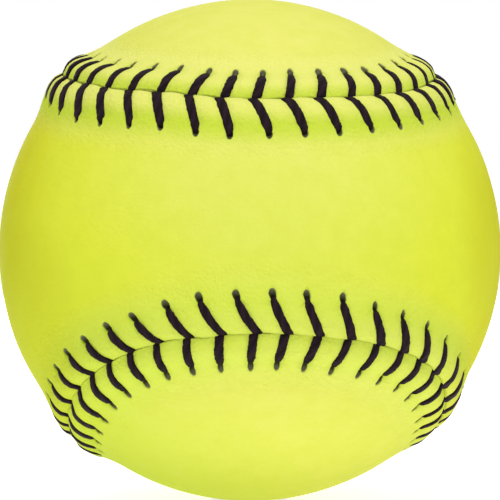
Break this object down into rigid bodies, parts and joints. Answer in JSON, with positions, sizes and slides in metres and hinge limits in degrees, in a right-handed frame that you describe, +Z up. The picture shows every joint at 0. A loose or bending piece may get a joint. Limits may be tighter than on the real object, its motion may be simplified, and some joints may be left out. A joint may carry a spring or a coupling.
{
  "type": "softball",
  "caption": "Stitched leather softball with a foam core, two interlocking figure-eight cover panels and a raised seam sewn in dark waxed thread.",
  "frame": {"origin": "centre of the ball", "axes": "+Z up through the top of the ball, -Y out through the front where the waist of the front panel faces, +X along that panel's long axis"},
  "size_m": [0.097, 0.098, 0.097],
  "materials": {
    "foam_core": "matte moulded foam",
    "cement": "dry adhesive film",
    "leather": "smooth dyed leather, satin",
    "thread": "waxed thread"
  },
  "bodies": {
    "root": {"core": "foam_core", "cement_coat": "cement", "front_panel": "leather", "back_panel": "leather", "first_needle_thread": "thread", "second_needle_thread": "thread"}
  },
  "joints": []
}
